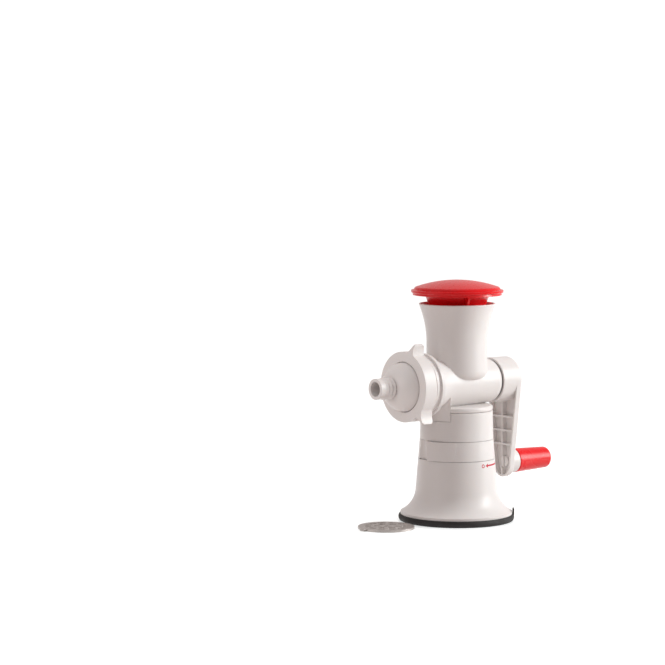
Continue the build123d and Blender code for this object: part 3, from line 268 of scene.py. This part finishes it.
PLATE_COLOURS = ((0.47, 0.425, 0.405), (0.38, 0.34, 0.325), (0.68, 0.64, 0.61))
FINE_PLATE_STEEL = worked_steel("fine_plate_steel", *PLATE_COLOURS, roughness=0.44, stretch=(1, 1, 1),
                                scratch_scale=1500, turned=(centre("drive_square"), (1, 0, 0)))
COARSE_PLATE_STEEL = worked_steel("coarse_plate_steel", *PLATE_COLOURS, roughness=0.44, stretch=(1, 1, 1),
                                  scratch_scale=1500, turned=(centre("coarse_plate"), (0, 0, 1)))
BLADE_STEEL = worked_steel("blade_steel", (0.25, 0.22, 0.21), (0.16, 0.14, 0.13), (0.52, 0.48, 0.46),
                           roughness=0.36, stretch=(1, 1, 12), scratch_scale=700)
HUB_STEEL = worked_steel("hub_steel", (0.46, 0.415, 0.395), (0.36, 0.32, 0.305), (0.70, 0.66, 0.63),
                         roughness=0.38, stretch=(1, 6, 1), scratch_scale=1100)
GROUND_STEEL = worked_steel("ground_steel", (0.66, 0.62, 0.59), (0.52, 0.48, 0.45), (0.88, 0.85, 0.82),
                            roughness=0.26, stretch=(1, 8, 1), scratch_scale=1600)
CAST_STEEL = worked_steel("drive_steel", (0.70, 0.67, 0.63), (0.55, 0.52, 0.49), (0.88, 0.86, 0.83),
                          roughness=0.30, stretch=(16, 1, 1), scratch_scale=500)
SCREW_STEEL = worked_steel("screw_steel", (0.60, 0.60, 0.60), (0.50, 0.50, 0.50), (0.80, 0.80, 0.80),
                           roughness=0.28, stretch=(1, 1, 10), scratch_scale=900)

NODE_FINISH = {
    "suction_pad": RUBBER, "pad_ring": GREY_ACETAL, "base_skirt": WHITE, "suction_lever": WHITE,
    "lever_cam": GREY_ACETAL, "suction_plunger": GREY_ACETAL, "plunger_pin": SCREW_STEEL,
    "base_turret": WHITE, "base_screws": SCREW_STEEL, "grinder_body": WHITE, "seal_ring": CREAM,
    "thrust_ring": CREAM, "auger": RED, "drive_square": CAST_STEEL, "knife": BLADE_STEEL,
    "fine_plate": FINE_PLATE_STEEL, "coarse_plate": COARSE_PLATE_STEEL, "nozzle": WHITE, "ring_nut": WHITE,
    "pusher": RED, "cap": RED, "crank_arm": WHITE, "drive_core": DARK_RED, "crank_washer": WHITE,
    "grip": RED, "grip_pin": WHITE, "grip_clip": SCREW_STEEL,
}
for node, finish in NODE_FINISH.items():
    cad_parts[node].data.materials.clear()
    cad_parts[node].data.materials.append(finish)


# ---- knife: a square hub and four cupped blades, each with a ground cutting strip -----
BLADE_METAL, GROUND_METAL = range(2)  # of a blade's faces
FACE_MARKS = ("ground", "hub")  # the faces that get a metal of their own
HUB_SIDE = 22.0 * MM
HUB_HOLE = 12.6 * MM
HUB_CHAMFER = 0.5 * MM
HUB_CORNER = 1.2 * MM
HOLE_CORNER = 0.4 * MM
CORNER_POINTS = 5
BLADE_COUNT = 4
BLADE_SWEEP = 42.0  # degrees, from the hub's corner to the tip
BLADE_ROOT_TURN = 54.0  # degrees, from the hub's corner to the trailing edge's root
TIP_HALF_TURN = 1.3  # degrees
BLADE_STATIONS = 10
BLADE_SPANS = 10
STRIP_SPANS = 3  # of the spans across a blade, the ground ones along its leading edge
STRIP_SHARE = 0.26
CUP_DEPTH = 3.9 * MM
SHEET_THICKNESS = 1.4 * MM
LEAD_THICKNESS = 1.75 * MM
SHEET_INSET = 0.02 * MM  # behind the hub's face


def start_tree(name, sizes):
    """A new geometry tree with these named sizes: its group, nodes, links, input and output."""
    tree = bpy.data.node_groups.new(name, "GeometryNodeTree")
    tree.is_modifier = True
    tree.interface.new_socket("Geometry", in_out="INPUT", socket_type="NodeSocketGeometry")
    for size, kind in sizes:
        tree.interface.new_socket(size, in_out="INPUT", socket_type=kind)
    tree.interface.new_socket("Geometry", in_out="OUTPUT", socket_type="NodeSocketGeometry")
    nodes, links = tree.nodes, tree.links
    return tree, nodes, links, nodes.new("NodeGroupInput"), nodes.new("NodeGroupOutput")


def calculate(nodes, links, operation, first, second):
    """A math node's result from two numbers or sockets."""
    node = nodes.new("ShaderNodeMath")
    node.operation = operation
    for socket, value in zip(node.inputs, (first, second)):
        if isinstance(value, bpy.types.NodeSocket):
            links.new(value, socket)
        else:
            socket.default_value = value
    return node.outputs["Value"]


def set_materials(nodes, links, geometry, marked):
    """The geometry with each material on the faces that its marking attribute names. The first
    one goes on every face."""
    for material, mark in marked:
        paint = nodes.new("GeometryNodeSetMaterial")
        paint.inputs["Material"].default_value = material
        links.new(geometry, paint.inputs["Geometry"])
        if mark:
            chosen = nodes.new("GeometryNodeInputNamedAttribute")
            chosen.data_type = "BOOLEAN"
            chosen.inputs["Name"].default_value = mark
            links.new(chosen.outputs["Attribute"], paint.inputs["Selection"])
        geometry = paint.outputs["Geometry"]
    return geometry


def draft_mesh(name, shape, marks=()):
    """A mesh from a closed bmesh with outward normals, and a face attribute for each mark."""
    bmesh.ops.recalc_face_normals(shape, faces=shape.faces)
    mesh = bpy.data.meshes.new(name)
    shape.to_mesh(mesh)
    shape.free()
    numbers = [polygon.material_index for polygon in mesh.polygons]
    for number, mark in marks:
        mesh.attributes.new(mark, "BOOLEAN", "FACE").data.foreach_set("value", [n == number for n in numbers])
    return mesh


def drop_draft(draft):
    """Remove a draft object and its mesh."""
    mesh = draft.data
    bpy.data.objects.remove(draft)
    bpy.data.meshes.remove(mesh)


def grow_mesh(name, mesh, tree, sizes):
    """The plain mesh that a tree makes of this mesh at these sizes."""
    draft = bpy.data.objects.new(name + "_draft", mesh)
    COLLECTION.objects.link(draft)
    modifier = draft.modifiers.new(tree.name, "NODES")
    modifier.node_group = tree
    for socket in tree.interface.items_tree:
        if socket.in_out == "INPUT" and socket.name in sizes:
            modifier[socket.identifier] = sizes[socket.name]
    grown = bpy.data.meshes.new_from_object(draft.evaluated_get(bpy.context.evaluated_depsgraph_get()))
    for mark in [attribute.name for attribute in grown.attributes if attribute.name in FACE_MARKS]:
        grown.attributes.remove(grown.attributes[mark])
    drop_draft(draft)
    grown.name = name
    return grown


def finish_piece(mesh, body, smooth_angle=35):
    """A new piece from a grown mesh: smooth faces between its sharp edges, and its body."""
    mesh.shade_smooth()
    mesh.set_sharp_from_angle(angle=math.radians(smooth_angle))
    piece = bpy.data.objects.new(mesh.name, mesh)
    COLLECTION.objects.link(piece)
    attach(piece, body)
    return piece


def across_shaft(radius, turn):
    """The offset from the shaft at this radius and this turn, in degrees from +Y to +Z."""
    return Vector((0, radius * math.cos(math.radians(turn)), radius * math.sin(math.radians(turn))))


def square_ring(shape, x, side, corner):
    """A ring of vertices round a square with rounded corners that stands on one corner."""
    shaft = Vector((x, 0, SHAFT_Z))
    ring = []
    for quarter in range(4):
        middle = across_shaft((side / 2 - corner) * math.sqrt(2), 90 * quarter + 90)
        for step in range(CORNER_POINTS):
            turn = 90 * quarter + 45 + 90 * step / (CORNER_POINTS - 1)
            ring.append(shape.verts.new(shaft + middle + across_shaft(corner, turn)))
    return ring


def join_rings(shape, first, second):
    """A band of faces between two rings of vertices."""
    for index in range(len(first)):
        after = (index + 1) % len(first)
        shape.faces.new((first[index], first[after], second[after], second[index]))


def make_hub(shape, front, back):
    """The open square hub, chamfered at both faces."""
    rim, mouth = HUB_SIDE - 2 * HUB_CHAMFER, HUB_HOLE + HUB_CHAMFER
    rim_corner, mouth_corner = 0.75 * HUB_CORNER, 1.25 * HOLE_CORNER
    rings = [square_ring(shape, x, side, corner) for x, side, corner in (
        (front, rim, rim_corner), (front + HUB_CHAMFER, HUB_SIDE, HUB_CORNER),
        (back - HUB_CHAMFER, HUB_SIDE, HUB_CORNER), (back, rim, rim_corner),
        (back, mouth, mouth_corner), (back - HUB_CHAMFER, HUB_HOLE, HOLE_CORNER),
        (front + HUB_CHAMFER, HUB_HOLE, HOLE_CORNER), (front, mouth, mouth_corner))]
    for index, ring in enumerate(rings):
        join_rings(shape, ring, rings[(index + 1) % len(rings)])


def blade_edge(points, share):
    """The point at this share of a blade's edge: a curve from root to tip, drawn to the middle one."""
    root, middle, tip = points
    return root * (1 - share) ** 2 + middle * 2 * share * (1 - share) + tip * share ** 2


def cup(share, station):
    """How far behind the cutting plane a blade's sheet is: flat on the strip and at the tip, else cupped."""
    if share <= STRIP_SHARE:
        return 0.0
    inward = (share - STRIP_SHARE) / (1 - STRIP_SHARE)
    return CUP_DEPTH * math.sin(math.pi / 2 * inward) ** 0.8 * (0.75 + 0.6 * station) * (1 - station ** 3)


def span_share(span):
    """How far across a blade a span starts: the strip's spans first, then the cup's."""
    if span <= STRIP_SPANS:
        return STRIP_SHARE * span / STRIP_SPANS
    return STRIP_SHARE + (1 - STRIP_SHARE) * (span - STRIP_SPANS) / (BLADE_SPANS - STRIP_SPANS)


def make_blade(shape, front, reach):
    """One blade: a sheet from the hub's corner to its tip, closed all round."""
    lead = [across_shaft(*place) for place in (
        (HUB_SIDE / 2 * math.sqrt(2) - 1.6 * MM, 0), (reach * 0.93, 8),
        (reach, BLADE_SWEEP - TIP_HALF_TURN))]
    trail = [across_shaft(*place) for place in (
        (HUB_SIDE / 2 - 1.0 * MM, BLADE_ROOT_TURN), (reach * 0.64, BLADE_SWEEP + 4),
        (reach - 0.2 * MM, BLADE_SWEEP + TIP_HALF_TURN))]
    grid = []
    for station in range(BLADE_STATIONS + 1):
        along = station / BLADE_STATIONS
        row = []
        for span in range(BLADE_SPANS + 1):
            share = span_share(span)
            flat = blade_edge(lead, along).lerp(blade_edge(trail, along), share)
            x = front + SHEET_INSET + cup(share, along)
            thickness = LEAD_THICKNESS if span == 0 else SHEET_THICKNESS
            row.append([shape.verts.new((x + depth, flat.y, SHAFT_Z + flat.z)) for depth in (0.0, thickness)])
        grid.append(row)
    for here, after in zip(grid, grid[1:]):
        for span in range(BLADE_SPANS):
            face = shape.faces.new((here[span][0], here[span + 1][0], after[span + 1][0], after[span][0]))
            face.material_index = GROUND_METAL if span < STRIP_SPANS else BLADE_METAL
            shape.faces.new((here[span][1], after[span][1], after[span + 1][1], here[span + 1][1]))
        for side in (0, BLADE_SPANS):
            shape.faces.new((here[side][0], after[side][0], after[side][1], here[side][1]))
    for end in (grid[0], grid[-1]):
        for span in range(BLADE_SPANS):
            shape.faces.new((end[span][0], end[span][1], end[span + 1][1], end[span + 1][0]))


def blades_round_hub_tree():
    """A tree that repeats a blade round the shaft and joins the hub to them."""
    tree, nodes, links, given, result = start_tree("blades_round_hub", (
        ("Blade Count", "NodeSocketInt"), ("Shaft Height", "NodeSocketFloat"), ("Hub", "NodeSocketObject")))
    shaft = nodes.new("ShaderNodeCombineXYZ")
    links.new(given.outputs["Shaft Height"], shaft.inputs["Z"])
    points = nodes.new("GeometryNodePoints")
    links.new(given.outputs["Blade Count"], points.inputs["Count"])
    links.new(shaft.outputs["Vector"], points.inputs["Position"])
    index = nodes.new("GeometryNodeInputIndex")
    step = calculate(nodes, links, "DIVIDE", 2 * math.pi, given.outputs["Blade Count"])
    turn = nodes.new("ShaderNodeCombineXYZ")
    links.new(calculate(nodes, links, "MULTIPLY", step, index.outputs["Index"]), turn.inputs["X"])
    below = nodes.new("ShaderNodeVectorMath")
    below.operation = "SCALE"
    below.inputs["Scale"].default_value = -1
    links.new(shaft.outputs["Vector"], below.inputs[0])
    at_origin = nodes.new("GeometryNodeTransform")
    links.new(given.outputs["Geometry"], at_origin.inputs["Geometry"])
    links.new(below.outputs["Vector"], at_origin.inputs["Translation"])
    blades = nodes.new("GeometryNodeInstanceOnPoints")
    links.new(points.outputs[0], blades.inputs["Points"])
    links.new(at_origin.outputs["Geometry"], blades.inputs["Instance"])
    links.new(turn.outputs["Vector"], blades.inputs["Rotation"])
    hub = nodes.new("GeometryNodeObjectInfo")
    links.new(given.outputs["Hub"], hub.inputs["Object"])
    joined = nodes.new("GeometryNodeJoinGeometry")
    links.new(blades.outputs["Instances"], joined.inputs["Geometry"])
    links.new(hub.outputs["Geometry"], joined.inputs["Geometry"])
    real = nodes.new("GeometryNodeRealizeInstances")
    links.new(joined.outputs["Geometry"], real.inputs["Geometry"])
    metals = ((BLADE_STEEL, None), (GROUND_STEEL, "ground"), (HUB_STEEL, "hub"))
    links.new(set_materials(nodes, links, real.outputs["Geometry"], metals), result.inputs["Geometry"])
    return tree


def make_knife():
    front, back = (corner.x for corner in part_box("knife"))
    reach = max(math.hypot(v.co.y, v.co.z - SHAFT_Z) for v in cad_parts["knife"].data.vertices)
    hub_shape, blade_shape = bmesh.new(), bmesh.new()
    make_hub(hub_shape, front, back)
    make_blade(blade_shape, front, reach)
    hub = bpy.data.objects.new("hub_draft", draft_mesh("hub_draft", hub_shape, ((0, "hub"),)))
    COLLECTION.objects.link(hub)
    blade = draft_mesh("blade_draft", blade_shape, ((GROUND_METAL, "ground"),))
    sizes = {"Blade Count": BLADE_COUNT, "Shaft Height": SHAFT_Z, "Hub": hub}
    mesh = grow_mesh("cupped_knife", blade, blades_round_hub_tree(), sizes)
    drop_draft(hub)
    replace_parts(finish_piece(mesh, "knife"), "knife")


# ---- printed mark on the base: a ring, and an arrow that points to it round the cone ---
MARK_Z = 69.3 * MM
MARK_TURN = 272.0
RING_RADIUS = 2.3 * MM
RING_WIDTH = 0.95 * MM
RING_STEPS = 32
ARROW_TURNS = (277.0, 282.0, 311.0)  # tip, back of the head, end of the shaft
ARROW_HALF_HEAD = 2.6 * MM
ARROW_HALF_SHAFT = 0.9 * MM
HEAD_STEPS = 4
SHAFT_STEPS = 16
PRINT_LIFT = 0.01 * MM  # from the skirt
PRINT_THICKNESS = 0.05 * MM
MARK_BAND = 3 * MM  # above and below the mark's middle
SKIRT_WAIST = 37 * MM


def skirt_radius(z):
    """The radius of the base's skirt at a height between its waist and its top."""
    places = [vertex.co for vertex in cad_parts["base_skirt"].data.vertices]
    top = max(place.z for place in places if math.hypot(place.x, place.y) > 45 * MM)
    upper = max(math.hypot(place.x, place.y) for place in places if abs(place.z - top) < 0.1 * MM)
    lower = max(math.hypot(place.x, place.y) for place in places if abs(place.z - SKIRT_WAIST) < 0.6 * MM)
    return lower + (z - SKIRT_WAIST) / (top - SKIRT_WAIST) * (upper - lower)


def print_strip(shape, pairs, ring=False):
    """A thin closed strip between pairs of flat points: turn in radians, height, and lift from 0."""
    rows = []
    for pair in pairs:
        rows.append([shape.verts.new((turn, MARK_Z + rise, lift))
                     for lift in (0, PRINT_THICKNESS) for turn, rise in pair])
    for first, second in zip(rows, rows[1:]):
        for a, b in ((0, 1), (1, 3), (3, 2), (2, 0)):
            shape.faces.new((first[a], first[b], second[b], second[a]))
    if not ring:
        for row in (rows[0], rows[-1]):
            shape.faces.new((row[0], row[1], row[3], row[2]))


def wrapped_on_skirt_tree():
    """A tree that wraps a flat print round the skirt. In the flat print X is the turn, Y the
    height and Z the lift from the skirt."""
    tree, nodes, links, given, result = start_tree("wrapped_on_skirt", (
        ("Low Height", "NodeSocketFloat"), ("High Height", "NodeSocketFloat"),
        ("Low Radius", "NodeSocketFloat"), ("High Radius", "NodeSocketFloat"), ("Lift", "NodeSocketFloat")))
    flat = nodes.new("ShaderNodeSeparateXYZ")
    links.new(nodes.new("GeometryNodeInputPosition").outputs["Position"], flat.inputs[0])
    skirt = nodes.new("ShaderNodeMapRange")
    skirt.clamp = False
    links.new(flat.outputs["Y"], skirt.inputs["Value"])
    for socket, size in (("From Min", "Low Height"), ("From Max", "High Height"),
                         ("To Min", "Low Radius"), ("To Max", "High Radius")):
        links.new(given.outputs[size], skirt.inputs[socket])
    lift = calculate(nodes, links, "ADD", given.outputs["Lift"], flat.outputs["Z"])
    radius = calculate(nodes, links, "ADD", skirt.outputs["Result"], lift)
    place = nodes.new("ShaderNodeCombineXYZ")
    for axis, operation in (("X", "COSINE"), ("Y", "SINE")):
        share = calculate(nodes, links, operation, flat.outputs["X"], 0)
        links.new(calculate(nodes, links, "MULTIPLY", radius, share), place.inputs[axis])
    links.new(flat.outputs["Y"], place.inputs["Z"])
    wrapped = nodes.new("GeometryNodeSetPosition")
    links.new(given.outputs["Geometry"], wrapped.inputs["Geometry"])
    links.new(place.outputs["Vector"], wrapped.inputs["Position"])
    real = nodes.new("GeometryNodeRealizeInstances")
    links.new(wrapped.outputs["Geometry"], real.inputs["Geometry"])
    printed = set_materials(nodes, links, real.outputs["Geometry"], ((PRINT, None),))
    links.new(printed, result.inputs["Geometry"])
    return tree


def make_mark():
    low, high = skirt_radius(MARK_Z - MARK_BAND), skirt_radius(MARK_Z + MARK_BAND)
    shape = bmesh.new()
    middle = math.radians(MARK_TURN)
    ring = []
    for step in range(RING_STEPS + 1):
        turn = 2 * math.pi * step / RING_STEPS
        ring.append([(middle + radius * math.cos(turn) / low, radius * math.sin(turn))
                     for radius in (RING_RADIUS - RING_WIDTH, RING_RADIUS)])
    print_strip(shape, ring, ring=True)
    tip, neck, end = (math.radians(turn) for turn in ARROW_TURNS)
    head = []
    for step in range(HEAD_STEPS + 1):
        half = ARROW_HALF_HEAD * max(step, 0.05) / HEAD_STEPS
        turn = tip + (neck - tip) * step / HEAD_STEPS
        head.append([(turn, -half), (turn, half)])
    print_strip(shape, head)
    shaft = []
    for step in range(SHAFT_STEPS + 1):
        turn = neck + (end - neck) * step / SHAFT_STEPS
        shaft.append([(turn, -ARROW_HALF_SHAFT), (turn, ARROW_HALF_SHAFT)])
    print_strip(shape, shaft)
    bmesh.ops.remove_doubles(shape, verts=shape.verts, dist=0.001 * MM)
    sizes = {"Low Height": MARK_Z - MARK_BAND, "High Height": MARK_Z + MARK_BAND,
             "Low Radius": low, "High Radius": high, "Lift": PRINT_LIFT}
    mesh = grow_mesh("printed_mark", draft_mesh("flat_print", shape), wrapped_on_skirt_tree(), sizes)
    finish_piece(mesh, "base", 60)


make_knife()
make_mark()


# ---- floor and light -----------------------------------------------------------------
FLOOR_RADIUS = 40
FLOOR_DROP = 0.2 * MM
FLOOR_GLOW = 0.46


def make_floor():
    mesh = bpy.data.meshes.new("floor")
    shape = bmesh.new()
    bmesh.ops.create_circle(shape, cap_ends=True, radius=FLOOR_RADIUS, segments=96)
    shape.to_mesh(mesh)
    shape.free()
    floor = bpy.data.objects.new("floor", mesh)
    COLLECTION.objects.link(floor)
    floor.location.z = -FLOOR_DROP
    material, nodes, links, shader, place = start_material("white_table")
    smears = noise(nodes, links, place, 3, 3)
    base = mix_colours(nodes, links, remap(nodes, links, smears, 0.3, 0.7, 0, 1),
                       (0.90, 0.90, 0.90), (0.895, 0.895, 0.895))
    links.new(base, shader.inputs["Base Color"])
    shader.inputs["Emission Color"].default_value = (0.95, 1, 1, 1)
    shader.inputs["Emission Strength"].default_value = FLOOR_GLOW
    links.new(remap(nodes, links, smears, 0.3, 0.7, 0.22, 0.3), shader.inputs["Roughness"])
    mesh.materials.append(material)
    floor.visible_diffuse = False


def make_area_light(name, azimuth, elevation, distance, size, power, colour, target=(0, 0, 0.16)):
    """A softbox that faces a point of the object from this direction."""
    data = bpy.data.lights.new(name, "AREA")
    data.shape = "RECTANGLE"
    data.size, data.size_y = size
    data.energy = power
    data.color = colour
    light = bpy.data.objects.new(name, data)
    COLLECTION.objects.link(light)
    azimuth, elevation = math.radians(azimuth), math.radians(elevation)
    back = Vector((math.sin(azimuth) * math.cos(elevation), -math.cos(azimuth) * math.cos(elevation),
                   math.sin(elevation)))
    light.location = Vector(target) + back * distance
    light.rotation_euler = back.to_track_quat("Z", "Y").to_euler()
    return light


def light_only(light, nodes):
    """Let a light reach these nodes and nothing else."""
    light.light_linking.receiver_collection = bpy.data.collections.new(light.name + "_pieces")
    for node in nodes:
        light.light_linking.receiver_collection.objects.link(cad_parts[node])


def light_all_but(light, node):
    """Let a light reach everything except this node."""
    light_only(light, (node,))
    for linked in light.light_linking.receiver_collection.collection_objects:
        linked.light_linking.link_state = "EXCLUDE"


def make_world():
    """White paper all round to the eye, and as light a dim front, a bright back and a soft ceiling."""
    world = bpy.data.worlds.new("studio")
    world.use_nodes = True
    nodes, links = world.node_tree.nodes, world.node_tree.links
    seen = nodes["Background"]
    seen.inputs["Color"].default_value = (1, 1, 1, 1)
    seen.inputs["Strength"].default_value = 1.05
    direction = nodes.new("ShaderNodeTexCoord").outputs["Generated"]
    facing = nodes.new("ShaderNodeVectorMath")
    facing.operation = "DOT_PRODUCT"
    facing.inputs[1].default_value = (-math.sin(CAMERA_AZIMUTH), math.cos(CAMERA_AZIMUTH), 0)
    links.new(direction, facing.inputs[0])
    axes = nodes.new("ShaderNodeSeparateXYZ")
    links.new(direction, axes.inputs[0])
    front = mix_colours(nodes, links, remap(nodes, links, facing.outputs["Value"], -0.97, -0.5, 0, 1),
                        (0.07, 0.055, 0.05), (0.25, 0.205, 0.19))
    colour = mix_colours(nodes, links, remap(nodes, links, facing.outputs["Value"], -0.1, 0.9, 0, 1),
                         front, (0.72, 0.68, 0.665))
    colour = mix_colours(nodes, links, remap(nodes, links, axes.outputs["Z"], 0.1, 0.9, 0, 1),
                         colour, (0.80, 0.76, 0.75))
    colour = mix_colours(nodes, links, remap(nodes, links, axes.outputs["Z"], 0, -0.5, 0, 1),
                         colour, (0.85, 0.76, 0.735))
    light = nodes.new("ShaderNodeBackground")
    links.new(colour, light.inputs["Color"])
    path = nodes.new("ShaderNodeLightPath")
    choice = nodes.new("ShaderNodeMixShader")
    links.new(path.outputs["Is Camera Ray"], choice.inputs["Fac"])
    links.new(light.outputs["Background"], choice.inputs[1])
    links.new(seen.outputs["Background"], choice.inputs[2])
    links.new(choice.outputs["Shader"], nodes["World Output"].inputs["Surface"])
    bpy.context.scene.world = world


make_floor()
make_world()
KEY = {"azimuth": 49, "elevation": 20, "distance": 1.8, "size": (0.6, 1.2), "power": 29,
       "colour": (0.96, 1.0, 1.0)}
light_all_but(make_area_light("key_softbox", **KEY), "cap")
cap_key = make_area_light("cap_key", **KEY)
cap_key.visible_glossy = False  # a mirrored softbox would bleach the crown from behind
light_only(cap_key, ("cap",))
pusher_gloss = make_area_light("pusher_gloss", 43, 20, 1.8, (0.5, 1.3), 75, (1.0, 0.95, 0.91))
pusher_gloss.visible_diffuse = False
light_only(pusher_gloss, ("pusher",))

make_area_light("side_fill", -105, 14, 2.4, (1.4, 1.4), 5, (1.0, 0.985, 0.975))
NEAR = {"azimuth": -72, "elevation": 24, "distance": 0.75, "size": (0.5, 0.5)}
light_only(make_area_light("outlet_fill", **NEAR, power=1.4, colour=(1.0, 0.98, 0.97),
                           target=(-0.30, 0, 0.17)),
           ("ring_nut", "nozzle"))
light_only(make_area_light("auger_fill", **NEAR, power=4.3, colour=(1.0, 0.97, 0.95),
                           target=(-0.24, 0, 0.17)),
           ("auger", "drive_square", "seal_ring", "thrust_ring"))

bpy.context.scene.view_settings.view_transform = "Standard"
